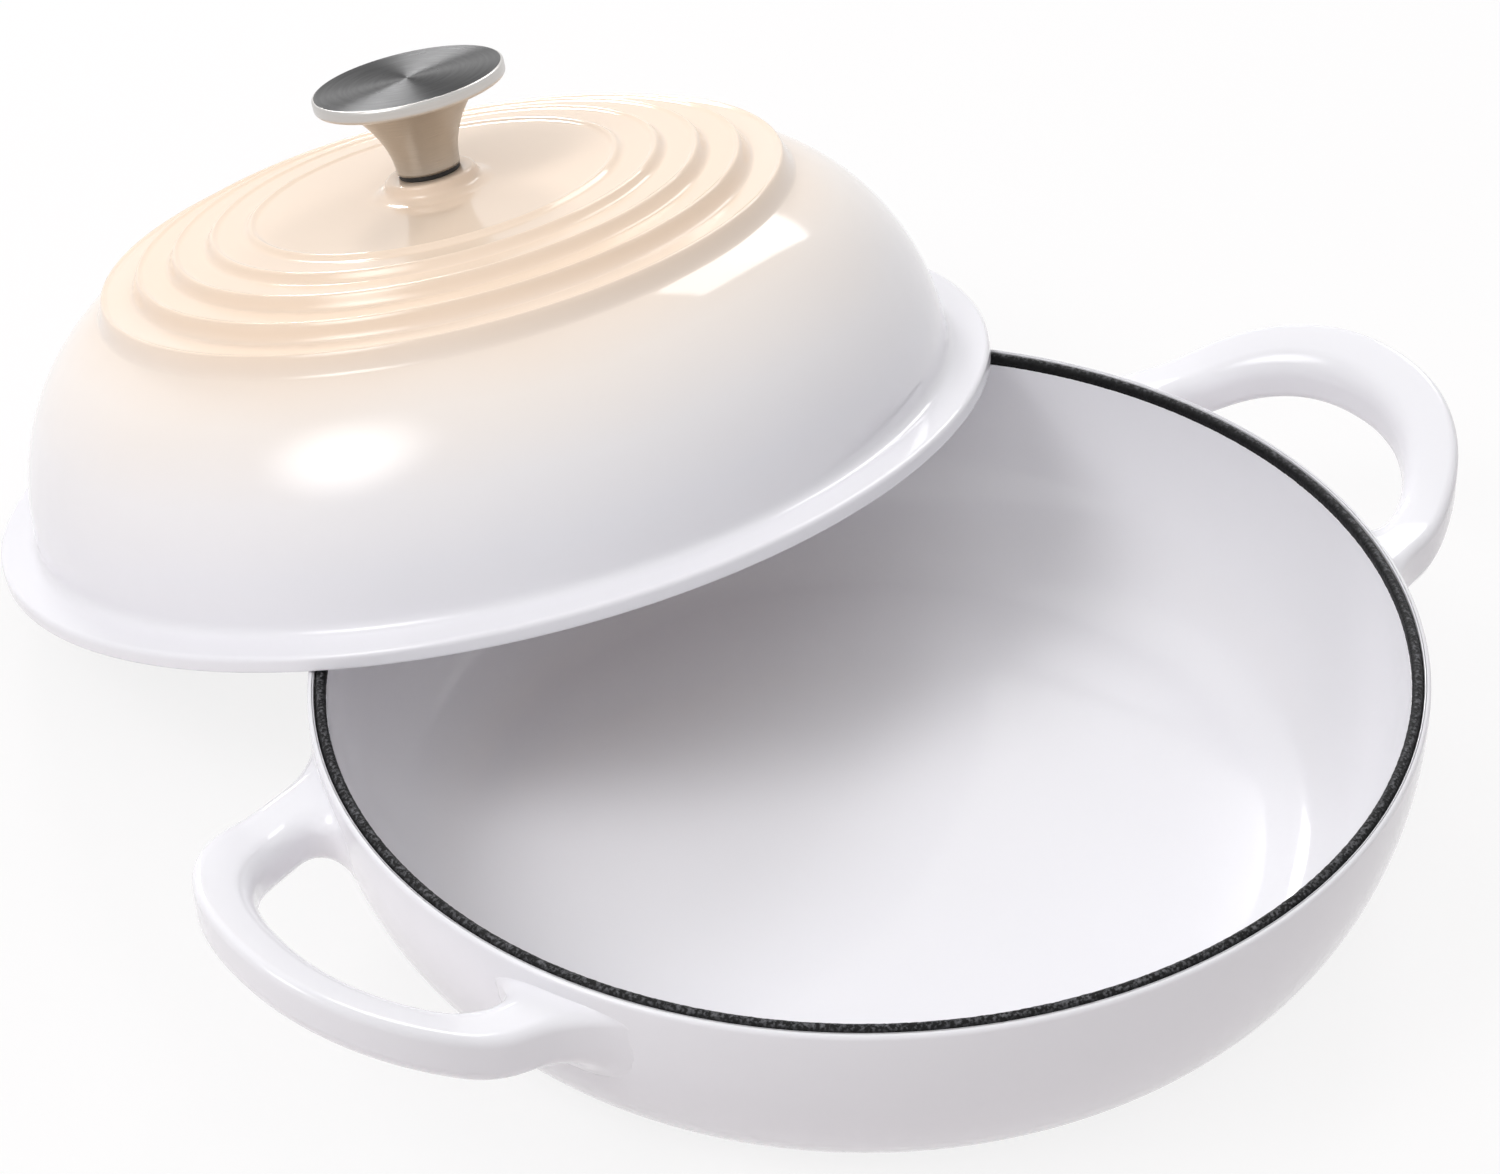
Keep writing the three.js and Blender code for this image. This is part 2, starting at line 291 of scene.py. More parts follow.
def spun_tree():
    """Turns a profile, given as points of a mesh in the XZ plane, about Z. U runs round the axis."""
    tree, given, out = new_tree(
        "Spun on the axis", "GeometryNodeTree",
        [("Geometry", "NodeSocketGeometry", None), ("Segments", "NodeSocketInt", ROUND),
         ("Material", "NodeSocketMaterial", None)],
        [("Geometry", "NodeSocketGeometry")])
    profile, segments = given["Geometry"], given["Segments"]
    size = put(tree, "GeometryNodeAttributeDomainSize", {"Geometry": profile})
    count = size.outputs["Point Count"]
    columns = maths(tree, "ADD", segments, 1.0)
    grid = put(tree, "GeometryNodeMeshGrid", {"Vertices X": columns, "Vertices Y": count})
    index = put(tree, "GeometryNodeInputIndex").outputs[0]
    row = whole_maths(tree, "MODULO", index, count)
    column = whole_maths(tree, "DIVIDE_FLOOR", index, count)
    turn = maths(tree, "MULTIPLY", maths(tree, "DIVIDE", column, segments), math.tau)
    place = put(tree, "GeometryNodeInputPosition").outputs[0]
    sample = put(tree, "GeometryNodeSampleIndex",
                 {"Geometry": profile, "Value": place, "Index": row}, data_type="FLOAT_VECTOR")
    spun = put(tree, "ShaderNodeVectorRotate",
               {"Vector": sample.outputs[0], "Angle": turn}, rotation_type="Z_AXIS")
    shaped = put(tree, "GeometryNodeSetPosition",
                 {"Geometry": grid.outputs["Mesh"], "Position": spun.outputs[0]})
    mapped = put(tree, "GeometryNodeStoreNamedAttribute",
                 {"Geometry": shaped.outputs[0], "Name": "UVMap", "Value": grid.outputs["UV Map"]},
                 data_type="FLOAT2", domain="CORNER")
    closed = put(tree, "GeometryNodeMergeByDistance",
                 {"Geometry": mapped.outputs[0], "Distance": WELD})
    smooth = put(tree, "GeometryNodeSetShadeSmooth", {"Geometry": closed.outputs[0]})
    end_tree(tree, smooth.outputs[0], given, out)
    return tree


def sand_cast_tree():
    """Roughens a surface as a sand mould does, by sinking it in grains."""
    tree, given, out = new_tree(
        "Sand-cast skin", "GeometryNodeTree",
        [("Geometry", "NodeSocketGeometry", None), ("Grain", "NodeSocketFloat", 1 * MM),
         ("Depth", "NodeSocketFloat", 0.3 * MM), ("Seed", "NodeSocketFloat", 3.0),
         ("Material", "NodeSocketMaterial", None)],
        [("Geometry", "NodeSocketGeometry")])
    scale = maths(tree, "DIVIDE", 1.0, given["Grain"])
    grains = put(tree, "ShaderNodeTexNoise",
                 {"W": given["Seed"], "Scale": scale, "Detail": 2.0}, noise_dimensions="4D")
    depth = maths(tree, "MULTIPLY", grains.outputs["Fac"], given["Depth"])
    inward = maths(tree, "MULTIPLY", depth, -1.0)
    normal = put(tree, "GeometryNodeInputNormal").outputs[0]
    sunk = put(tree, "GeometryNodeSetPosition",
               {"Geometry": given["Geometry"], "Offset": scaled(tree, normal, inward)})
    end_tree(tree, sunk.outputs[0], given, out)
    return tree


def shaped_by(obj, tree, **values):
    """Runs a tree on an object and leaves the result as its plain mesh."""
    modifier = obj.modifiers.new(tree.name, "NODES")
    modifier.node_group = tree
    given = [item for item in tree.interface.items_tree if item.in_out == "INPUT"]
    sockets = {item.name: item.identifier for item in given}
    for name, value in values.items():
        modifier[sockets[name]] = value
    graph = bpy.context.evaluated_depsgraph_get()
    mesh = bpy.data.meshes.new_from_object(obj.evaluated_get(graph))
    obj.modifiers.remove(modifier)
    for slot in reversed(range(len(mesh.materials))):
        if mesh.materials[slot] is None:
            mesh.materials.pop(index=slot)
    obj.data = mesh
    return obj


def new_piece(name, points, faces=()):
    mesh = bpy.data.meshes.new(name)
    mesh.from_pydata([tuple(p) for p in points], [], [tuple(f) for f in faces])
    piece = bpy.data.objects.new(name, mesh)
    bpy.context.scene.collection.objects.link(piece)
    return piece


def spun_piece(name, profile, material, segments):
    """A piece turned about Z from (radius, height) points. The outside runs upwards."""
    piece = new_piece(name, [(radius, 0, height) for radius, height in profile])
    return shaped_by(piece, SPUN, Segments=segments, Material=material)


def set_on(piece, body, slot, *nodes):
    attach(piece, body)
    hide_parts(*nodes)


# Profiles

def rounded(corners, steps=6, support=1.25):
    """Line through (radius, height, rounding) corners.

    Each rounded corner becomes a curve, with one more point beyond each of its ends.
    """
    line = []
    for i, (radius, height, rounding) in enumerate(corners):
        here = Vector((radius, height))
        if rounding == 0 or i in (0, len(corners) - 1):
            line.append(tuple(here))
            continue
        before = (Vector(corners[i - 1][:2]) - here).normalized()
        after = (Vector(corners[i + 1][:2]) - here).normalized()
        line.append(tuple(here + before * rounding * support))
        for step in range(steps + 1):
            t = step / steps
            line.append(tuple(here + before * rounding * (1 - t) ** 2 + after * rounding * t ** 2))
        line.append(tuple(here + after * rounding * support))
    return line


def wall_arc(flat_radius, top_radius, low, steps=40):
    """Quarter ellipse from the flat of the pan up to its rim."""
    turns = [math.pi / 2 * (1 - step / steps) for step in range(steps + 1)]
    reach, rise = top_radius - flat_radius, WALL_TOP - low
    return [(flat_radius + reach * math.cos(turn), WALL_TOP - rise * math.sin(turn))
            for turn in turns]


def pan_profile():
    outer_lip = rim_height(RIM_RADIUS) - LIP_DROP
    inner_lip = RIM_MIDDLE - BAND_DEPTH
    bed = WALL_TOP - BAND_BED
    top = rounded([
        (RIM_RADIUS, WALL_TOP, 0),
        (RIM_RADIUS, outer_lip, LIP_ROUNDING),
        (BAND_OUTER, outer_lip + ENAMEL_ROLL, ENAMEL_ROUNDING),
        (BAND_OUTER - ENAMEL_ROLL, bed, 0),
        (RIM_INNER + ENAMEL_EDGE, bed, 0),
        (RIM_INNER + ENAMEL_EDGE, inner_lip, ENAMEL_ROLL),
        (RIM_INNER, inner_lip, ENAMEL_ROLL),
        (RIM_INNER, WALL_TOP - INNER_LIP_JOIN, 0),
    ])
    outside = wall_arc(BASE_RADIUS, RIM_RADIUS, 0)
    inside = wall_arc(BASE_RADIUS - FLOOR_INSET, RIM_INNER, FLOOR_THICKNESS)
    below = [point for point in reversed(inside) if point[1] < WALL_TOP - INNER_LIP_JOIN * 1.25]
    return [(0, 0)] + outside[:-1] + top + below + [(0, FLOOR_THICKNESS)]


def bead_height(radius):
    """Height of the bead's crown: it touches the seat in its middle and falls to both edges."""
    middle = (BAND_OUTER + RIM_INNER) / 2
    share = (radius - middle) / (BAND_OUTER - middle)
    return rim_height(radius) - BEAD_FALL * abs(share) ** BEAD_CURVE


def rim_profile(steps=16):
    """Bare bead over the top of the wall and down its inner face."""
    foot = RIM_MIDDLE - BAND_DEPTH
    low = WALL_TOP - BEAD_SINK
    inner, step_back = RIM_INNER - BEAD_PROUD, RIM_INNER + ENAMEL_EDGE
    radii = [BAND_OUTER + (inner - BAND_OUTER) * step / steps for step in range(steps + 1)]
    crown = [(radius, bead_height(radius)) for radius in radii]
    hidden = [(inner, foot), (step_back, foot), (step_back, low), (BAND_OUTER, low)]
    return crown + hidden + [crown[0]]


def smooth_step(x):
    x = min(1.0, max(0.0, x))
    return x * x * (3 - 2 * x)


def crown_height(radius):
    """Height of the crown's terraces: each ridge has a soft lip and a rounded fall outside it."""
    height = CROWN
    for ridge in range(1, RIDGE_COUNT + 1):
        along = (radius - RIDGE_FIRST_RADIUS - RIDGE_PITCH * (ridge - 1)) / RIDGE_WIDTH
        fall = TERRACE_FALL * (ridge ** 2 - (ridge - 1) ** 2) / RIDGE_COUNT ** 2
        height -= fall * smooth_step(along + 0.5)
        height += RIDGE_LIP * math.exp(-((along + RIDGE_LIP_BACK) / RIDGE_LIP_SPREAD) ** 2)
    return height


def crown_profile(inner, steps=170):
    outer = RIDGE_FIRST_RADIUS + RIDGE_PITCH * (RIDGE_COUNT - 1) + RIDGE_WIDTH / 2
    radii = [outer + (inner - outer) * step / steps for step in range(steps + 1)]
    return [(radius, crown_height(radius)) for radius in radii]


def dome_side(top, first=4, steps=44):
    """Ellipse from the flange's fillet up to the outside of the last ridge."""
    reach = DOME_RADIUS - SHOULDER_CENTRE
    last = math.acos((top[0] - SHOULDER_CENTRE) / reach)
    rise = (top[1] - DOME_FOOT) / math.sin(last)
    turns = [last * step / steps for step in range(first, steps)]
    return [(SHOULDER_CENTRE + reach * math.cos(turn), DOME_FOOT + rise * math.sin(turn))
            for turn in turns]


def dome_inside(steps=40):
    foot = seat_height(HOLLOW_RADIUS)
    power = 2 / INNER_SQUARENESS
    turns = [math.pi / 2 * (step + 1) / steps for step in range(steps - 1)]
    return [(HOLLOW_RADIUS * math.sin(turn) ** power,
             foot + (CEILING - foot) * math.cos(turn) ** power) for turn in turns]


def lid_profile():
    crown = crown_profile(BOSS_RADIUS + BOSS_FLARE + BOSS_MARGIN)
    side = dome_side(crown[0])
    flange = rounded([
        (HOLLOW_RADIUS, seat_height(HOLLOW_RADIUS), 0),
        (LID_RADIUS, LID_FOOT, FLANGE_FOOT_ROUNDING),
        (LID_RADIUS, FLANGE_TOP, FLANGE_TOP_ROUNDING),
        (DOME_RADIUS, DOME_FOOT, FLANGE_FILLET),
        (*side[0], 0),
    ])
    boss = rounded([
        (*crown[-1], 0),
        (BOSS_RADIUS + BOSS_FLARE, CROWN, BOSS_FOOT_ROUNDING),
        (BOSS_RADIUS + BOSS_FLARE / 4, CROWN + BOSS_HEIGHT / 4, BOSS_SIDE_ROUNDING),
        (BOSS_RADIUS, BOSS_TOP, BOSS_TOP_ROUNDING),
        (SCREW_HOLE_RADIUS, BOSS_TOP, 0),
    ])
    hole = [(SCREW_HOLE_RADIUS, CEILING)]
    return flange + side[1:] + crown[:-1] + boss + hole + dome_inside() + [flange[0]]


def cap_profile():
    return rounded([
        (0, CAP_FOOT, 0),
        (STEM_TOP_RADIUS, CAP_FOOT, CAP_FOOT_ROUNDING),
        (CAP_RADIUS, CAP_EDGE_FOOT, CAP_ROUNDING),
        (CAP_RADIUS, CAP_TOP, CAP_ROUNDING),
        (CAP_RADIUS / 2, CAP_TOP, 0),
        (0, CAP_TOP, 0),
    ])


def stem_profile(steps=28):
    shares = [step / steps for step in range(steps + 1)]
    flare = [(STEM_FOOT_RADIUS + (STEM_TOP_RADIUS - STEM_FOOT_RADIUS) * share ** STEM_CURVE,
              STEM_FOOT + (CAP_FOOT - STEM_FOOT) * share) for share in shares]
    foot = [(0, STEM_FOOT), (STEM_FOOT_RADIUS - STEM_FOOT_EDGE, STEM_FOOT)]
    return foot + flare + [(0, CAP_FOOT)]


def gasket_profile():
    """Pressed flat between the boss and the stem."""
    reach = STEM_FOOT_RADIUS - GASKET_INSET
    return rounded([
        (SCREW_HOLE_RADIUS, BOSS_TOP, 0),
        (reach, BOSS_TOP, GASKET_ROUNDING),
        (reach, STEM_FOOT, GASKET_ROUNDING),
        (SCREW_HOLE_RADIUS, STEM_FOOT, 0),
        (SCREW_HOLE_RADIUS, BOSS_TOP, 0),
    ], steps=3)


# Handles

def band_middle(stations=480):
    """Middle of the handle's band from root to root, evenly spaced, and its tangents."""
    start = RIM_RADIUS - ROOT_DEPTH
    turns = np.linspace(-math.pi / 2, math.pi / 2, 4 * stations)
    power = 2 / HANDLE_SQUARENESS
    half_span = HANDLE_HALF_SPAN - HANDLE_WIDTH / 2
    reach = RIM_RADIUS + HANDLE_REACH - HANDLE_WIDTH / 2 - start
    x = start + reach * np.abs(np.cos(turns)) ** power
    y = half_span * np.sign(turns) * np.abs(np.sin(turns)) ** power
    travelled = np.concatenate([[0], np.cumsum(np.hypot(np.diff(x), np.diff(y)))])
    even = np.linspace(0, travelled[-1], stations)
    x, y = np.interp(even, travelled, x), np.interp(even, travelled, y)
    tangent = np.stack([np.gradient(x), np.gradient(y)], 1)
    return np.stack([x, y], 1), tangent / np.linalg.norm(tangent, axis=1)[:, None]


def climb(x):
    """Level where the lid's flange passes, then bent up softly to the far end."""
    start = LID_RADIUS + HANDLE_LEVEL
    share = np.clip((x - start) / (RIM_RADIUS + HANDLE_REACH - start), 0, None)
    bent = np.where(share < CLIMB_BEND, share ** 2 / 2 / CLIMB_BEND, share - CLIMB_BEND / 2)
    return HANDLE_RISE * bent / (1 - CLIMB_BEND / 2)


def band_section(steps=8):
    """Points round the band's section as (outwards, up), and the way that each one faces."""
    half = np.array([HANDLE_WIDTH, HANDLE_HEIGHT]) / 2
    points, facings = [], []
    for corner, rounding in enumerate(BAND_ROUNDINGS):
        turns = math.pi / 2 * (corner + np.linspace(0, 1, steps))
        facing = np.stack([np.cos(turns), np.sin(turns)], 1)
        middle = math.pi / 2 * (corner + 0.5)
        centre = np.sign([math.cos(middle), math.sin(middle)]) * (half - rounding)
        points.append(centre + rounding * facing)
        facings.append(facing)
    return np.concatenate(points), np.concatenate(facings)


def wall_gap(points):
    """How far points lie outside the pan's wall, and the way that the wall faces there."""
    radius = np.hypot(points[:, 0], points[:, 1])
    reach = RIM_RADIUS - BASE_RADIUS
    across = (radius - BASE_RADIUS) / reach
    below = np.maximum(0, (WALL_TOP - points[:, 2]) / WALL_TOP)
    level = np.hypot(across, below)
    slope_out, slope_up = across / reach / level, -below / WALL_TOP / level
    steep = np.hypot(slope_out, slope_up)
    outward = points[:, :2] / radius[:, None] * slope_out[:, None]
    facing = np.concatenate([outward, slope_up[:, None]], 1) / steep[:, None]
    return (level - 1) / steep, facing


def band_fibre(point, facing, middle, tangent):
    """One line along the band, through a point of its section, and the way it faces."""
    side = np.stack([tangent[:, 1], -tangent[:, 0]], 1)
    plan = middle + side * point[0]
    z = RIM_MIDDLE - HANDLE_DROP - HANDLE_HEIGHT / 2 + point[1] + climb(plan[:, 0])
    faced = np.concatenate([side * facing[0], np.full((len(side), 1), facing[1])], 1)
    return np.concatenate([plan, z[:, None]], 1), faced


def root_stations(points, steps=12, middle=64):
    """Places along a line of the band, closer where it runs out into the wall at each root."""
    gap = wall_gap(points)[0]
    turns = np.linspace(0, math.pi / 2, steps)
    wanted = np.concatenate([[-ROOT_SINK], ROOT_FILLET * (1 - np.cos(turns)) - ROOT_BLEND])
    half = len(points) // 2
    first = np.interp(wanted, gap[:half], np.arange(half))
    last = np.interp(wanted, gap[half:][::-1], np.arange(half, len(points))[::-1])
    return np.concatenate([first, np.linspace(first[-1], last[-1], middle)[1:-1], last[::-1]])


def flared(points, facing):
    """Spreads the band along the wall with a fillet, which stays low at the top for the lid to pass.

    A point that faces the wall almost square on has no clear way to spread, and spreads less.
    """
    gap, wall = wall_gap(points)
    near = np.clip(gap + ROOT_BLEND, 0, ROOT_FILLET)
    spread = ROOT_FILLET - np.sqrt(ROOT_FILLET ** 2 - (ROOT_FILLET - near) ** 2)
    along = facing - wall * np.sum(facing * wall, 1)[:, None]
    along /= np.maximum(np.linalg.norm(along, axis=1), ROOT_SQUARE_ON)[:, None]
    along[:, 2] *= np.where(along[:, 2] > 0, ROOT_LIFT, 1)
    moved = points + along * spread[:, None]
    moved_gap, moved_wall = wall_gap(moved)
    return moved - moved_wall * (moved_gap - gap)[:, None]


def handle_points():
    middle, tangent = band_middle()
    fibres = []
    for point, facing in zip(*band_section()):
        points, faced = band_fibre(point, facing, middle, tangent)
        stations = root_stations(points)
        steps = np.arange(len(points))
        placed = np.stack([np.interp(stations, steps, points[:, i]) for i in range(3)], 1)
        turned = np.stack([np.interp(stations, steps, faced[:, i]) for i in range(3)], 1)
        fibres.append(flared(placed, turned))
    return np.stack(fibres, 1)


def handle_piece(name, material, heading):
    """A handle as a closed skin over the band's lines, turned about Z to its side of the pan."""
    grid = handle_points()
    rings, sides = grid.shape[:2]
    ends = [grid[0].mean(0), grid[-1].mean(0)]
    first_end, last_end = rings * sides, rings * sides + 1
    last = (rings - 1) * sides
    faces = []
    for side in range(sides):
        after = (side + 1) % sides
        for start in range(0, last, sides):
            faces.append((start + side, start + sides + side, start + sides + after, start + after))
        faces.append((first_end, side, after))
        faces.append((last_end, last + after, last + side))
    piece = new_piece(name, list(grid.reshape(-1, 3)) + ends, faces)
    piece.data.transform(Matrix.Rotation(heading, 4, "Z"))
    piece.data.materials.append(material)
    piece.data.shade_smooth()
    return piece


# Materials

def new_material(name, **sockets):
    material = bpy.data.materials.new(name)
    material.use_nodes = True
    shader = material.node_tree.nodes["Principled BSDF"]
    for socket, value in sockets.items():
        shader.inputs[socket.replace("_", " ")].default_value = value
    return material, material.node_tree, shader


def new_effect(name, *inputs):
    """A shader group that gives a colour, a roughness and a height for a bump."""
    outputs = [("Colour", "NodeSocketColor"), ("Roughness", "NodeSocketFloat"),
               ("Height", "NodeSocketFloat")]
    place = ("Vector", "NodeSocketVector", None)
    return new_tree(name, "ShaderNodeTree", [place, *inputs], outputs)


def end_effect(tree, out, colour, roughness, height):
    tree.links.new(colour, out["Colour"])
    tree.links.new(roughness, out["Roughness"])
    tree.links.new(height, out["Height"])
    return tree


def fired_enamel_group():
    """Glassy coat: a slow ripple, a faint change of tone, and a slightly uneven gloss."""
    tree, given, out = new_effect(
        "Fired enamel", ("Colour", "NodeSocketColor", None),
        ("Ripple size", "NodeSocketFloat", 10 * MM), ("Tone", "NodeSocketFloat", 0.03))
    ripple = noise(tree, given["Vector"], maths(tree, "DIVIDE", 1.0, given["Ripple size"]), 1.0)
    cloud = noise(tree, given["Vector"], 14.0, 3.0)
    shade = maths(tree, "MULTIPLY", cloud, given["Tone"])
    toned = scaled(tree, given["Colour"], maths(tree, "SUBTRACT", 1.0, shade))
    gloss = spread_over(tree, cloud, to_low=0.05, to_high=0.13)
    return end_effect(tree, out, toned, gloss, ripple)


def grain_group():
    """Fine grain of a bare casting or a pressed fibre: a speckled shade and a height."""
    tree, given, out = new_effect(
        "Fine grain", ("Dark", "NodeSocketColor", None), ("Light", "NodeSocketColor", None),
        ("Grain", "NodeSocketFloat", 1 * MM))
    grains = noise(tree, given["Vector"], maths(tree, "DIVIDE", 1.0, given["Grain"]), 3.0)
    speckle = spread_over(tree, grains, low=0.45, high=0.7)
    colour = mixed_colour(tree, speckle, given["Dark"], given["Light"])
    rough = spread_over(tree, grains, to_low=0.4, to_high=0.8)
    return end_effect(tree, out, colour, rough, grains)


def brushing_group():
    """Lines left by brushing on a lathe. The vector's X runs along the lines."""
    tree, given, out = new_effect(
        "Turned brushing", ("Lines", "NodeSocketFloat", 160.0), ("Colour", "NodeSocketColor", None),
        ("Contrast", "NodeSocketFloat", 0.2))
    parts = put(tree, "ShaderNodeSeparateXYZ", {0: given["Vector"]}).outputs
    across = maths(tree, "MULTIPLY", parts["Y"], given["Lines"])
    along = maths(tree, "MULTIPLY", parts["X"], 9.0)
    stretched = put(tree, "ShaderNodeCombineXYZ", {"X": along, "Y": across}).outputs[0]
    lines = noise(tree, stretched, 1.0, 3.0)
    shade = maths(tree, "MULTIPLY", lines, given["Contrast"])
    toned = scaled(tree, given["Colour"], maths(tree, "SUBTRACT", 1.0, shade))
    rough = spread_over(tree, lines, to_low=0.22, to_high=0.4)
    return end_effect(tree, out, toned, rough, lines)


def finish_with(tree, shader, group, values, bump, depth):
    """Places an effect and links its colour, roughness and height to the shader."""
    effect = put(tree, "ShaderNodeGroup", values, node_tree=group)
    tree.links.new(effect.outputs["Colour"], shader.inputs["Base Color"])
    tree.links.new(effect.outputs["Roughness"], shader.inputs["Roughness"])
    relief = put(tree, "ShaderNodeBump",
                 {"Strength": bump, "Distance": depth, "Height": effect.outputs["Height"]})
    tree.links.new(relief.outputs[0], shader.inputs["Normal"])


def white_enamel():
    material, tree, shader = new_material("white_enamel", IOR=1.5)
    coat = {"Vector": object_place(tree), "Colour": WHITE, "Ripple size": 12 * MM}
    finish_with(tree, shader, FIRED_ENAMEL, coat, bump=0.12, depth=0.3 * MM)
    return material


def cream_enamel():
    """Cream at the crown, fading down the dome to a cool white at the flange."""
    material, tree, shader = new_material("cream_enamel", IOR=1.5)
    place = object_place(tree)
    upright = put(tree, "ShaderNodeMapping", {"Vector": place, "Rotation": (LEAN, 0, 0)})
    upright.inputs["Location"].default_value = LEANING.inverted().translation
    height = put(tree, "ShaderNodeSeparateXYZ", {0: upright.outputs[0]}).outputs["Z"]
    drift = noise(tree, place, 18.0, 2.0)
    drifted = maths(tree, "MULTIPLY_ADD", drift, LID_FADE_DRIFT, height)
    share = spread_over(tree, drifted, low=LID_FOOT, high=CROWN)
    ramp = put(tree, "ShaderNodeValToRGB", {"Fac": share})
    stops = ramp.color_ramp.elements
    lowest, *between, highest = LID_FADE
    stops[0].position, stops[0].color = lowest
    stops[1].position, stops[1].color = highest
    for position, colour in between:
        stops.new(position).color = colour
    coat = {"Vector": place, "Colour": ramp.outputs["Color"], "Ripple size": 14 * MM}
    finish_with(tree, shader, FIRED_ENAMEL, coat, bump=0.1, depth=0.3 * MM)
    return material


def painted_sheen_middle(tree, place):
    """Painted highlight: 1 along the middle of the rim's bead, and 0 at its edges."""
    flat = put(tree, "ShaderNodeVectorMath", {0: place, 1: (1, 1, 0)}, operation="MULTIPLY")
    middle, half = (BAND_OUTER + RIM_INNER) / 2, (BAND_OUTER - RIM_INNER) / 2
    off = maths(tree, "SUBTRACT", length(tree, flat.outputs[0]), middle)
    beside = maths(tree, "ABSOLUTE", off)
    return spread_over(tree, beside, low=0.85 * half, high=0.2 * half, kind="SMOOTHSTEP")


def bare_iron():
    material, tree, shader = new_material("bare_iron", IOR=1.5, Specular_IOR_Level=0.2)
    place = object_place(tree)
    # The bead's middle is painted lighter than its black edges: a painted highlight.
    light = mixed_colour(tree, painted_sheen_middle(tree, place), IRON_LIGHT, IRON_PAINTED_SHEEN)
    skin = {"Vector": place, "Dark": IRON_DARK, "Light": light, "Grain": 0.8 * MM}
    finish_with(tree, shader, GRAIN, skin, bump=0.9, depth=0.3 * MM)
    return material


def gasket_fibre():
    material, tree, shader = new_material("gasket_fibre")
    fibre = {"Vector": object_place(tree), "Dark": FIBRE_DARK, "Light": FIBRE_LIGHT,
             "Grain": 0.4 * MM}
    finish_with(tree, shader, GRAIN, fibre, bump=0.3, depth=0.1 * MM)
    return material


def brushed_steel(name, colour, lines, contrast, spread):
    """Steel brushed round its axis: the gloss spreads across the lines."""
    material, tree, shader = new_material(
        name, Metallic=1.0, Anisotropic=spread, Anisotropic_Rotation=0.25)
    unrolled = put(tree, "ShaderNodeUVMap", uv_map="UVMap").outputs[0]
    brushing = {"Vector": unrolled, "Colour": colour, "Lines": lines, "Contrast": contrast}
    finish_with(tree, shader, BRUSHING, brushing, bump=0.15, depth=0.05 * MM)
    tangent = put(tree, "ShaderNodeTangent", direction_type="UV_MAP", uv_map="UVMap")
    tree.links.new(tangent.outputs[0], shader.inputs["Tangent"])
    return material


def plain_steel():
    """Washer and screw inside the lid, tumbled."""
    material, tree, shader = new_material("plain_steel", Metallic=1.0)
    tumbled = {"Vector": object_place(tree), "Dark": SCREW_STEEL_DARK, "Light": SCREW_STEEL_LIGHT,
               "Grain": 0.6 * MM}
    finish_with(tree, shader, GRAIN, tumbled, bump=0.08, depth=0.05 * MM)
    return material


# Studio

def aimed_camera():
    data = bpy.data.cameras.new("camera")
    data.lens = CAMERA_LENS
    data.sensor_width = CAMERA_SENSOR
    data.clip_start = CAMERA_NEAR
    camera = bpy.data.objects.new("camera", data)
    ahead = Vector((math.sin(CAMERA_HEADING), math.cos(CAMERA_HEADING), 0))
    right = Vector((ahead.y, -ahead.x, 0))
    forward = ahead * math.cos(CAMERA_PITCH) - Vector((0, 0, math.sin(CAMERA_PITCH)))
    level_up = right.cross(forward)
    rolled = right * math.cos(CAMERA_ROLL) + level_up * math.sin(CAMERA_ROLL)
    up = rolled.cross(forward)
    turn = Matrix((rolled, up, -forward)).transposed().to_4x4()
    camera.matrix_world = Matrix.Translation(CAMERA_PLACE) @ turn
    bpy.context.scene.collection.objects.link(camera)
    bpy.context.scene.camera = camera


def softbox(name, place, target, size, power, soft=False, mirrored=True):
    """Area light that no camera sees. A soft one fades from its middle to its edge."""
    data = bpy.data.lights.new(name, "AREA")
    data.shape = "RECTANGLE"
    data.size, data.size_y = size
    data.energy = power
    light = bpy.data.objects.new(name, data)
    light.location = place
    light.rotation_euler = (Vector(target) - Vector(place)).to_track_quat("-Z", "Y").to_euler()
    light.visible_camera = False
    light.visible_glossy = mirrored
    bpy.context.scene.collection.objects.link(light)
    if soft:
        fade_out(data)


def fade_out(light, middle=3.0):
    light.use_nodes = True
    tree = light.node_tree
    across = put(tree, "ShaderNodeNewGeometry").outputs["Parametric"]
    off_middle = put(tree, "ShaderNodeVectorMath", {0: across, 1: (0.5, 0.5, 0)},
                     operation="DISTANCE").outputs["Value"]
    level = spread_over(tree, off_middle, low=0.5, high=0.0, to_high=middle, kind="SMOOTHSTEP")
    tree.links.new(level, tree.nodes["Emission"].inputs["Strength"])


def seen_directly(tree):
    """1 for rays from the camera, mirrors and glass, which show the plain background."""
    path = put(tree, "ShaderNodeLightPath").outputs
    mirrored = maths(tree, "MAXIMUM", path["Is Camera Ray"], path["Is Glossy Ray"])
    return maths(tree, "MAXIMUM", mirrored, path["Is Transmission Ray"])


def white_world(horizon, zenith):
    """White where it is seen. As a light it is a large soft ceiling, dimmer towards the horizon."""
    world = bpy.data.worlds.new("white_studio")
    world.use_nodes = True
    tree = world.node_tree
    background = tree.nodes["Background"]
    background.inputs["Color"].default_value = PURE_WHITE
    ray = put(tree, "ShaderNodeTexCoord").outputs["Generated"]
    height = put(tree, "ShaderNodeSeparateXYZ", {0: ray}).outputs["Z"]
    ceiling = spread_over(tree, height, to_low=horizon, to_high=zenith)
    level = spread_over(tree, seen_directly(tree), to_low=ceiling)
    tree.links.new(level, background.inputs["Strength"])
    bpy.context.scene.world = world


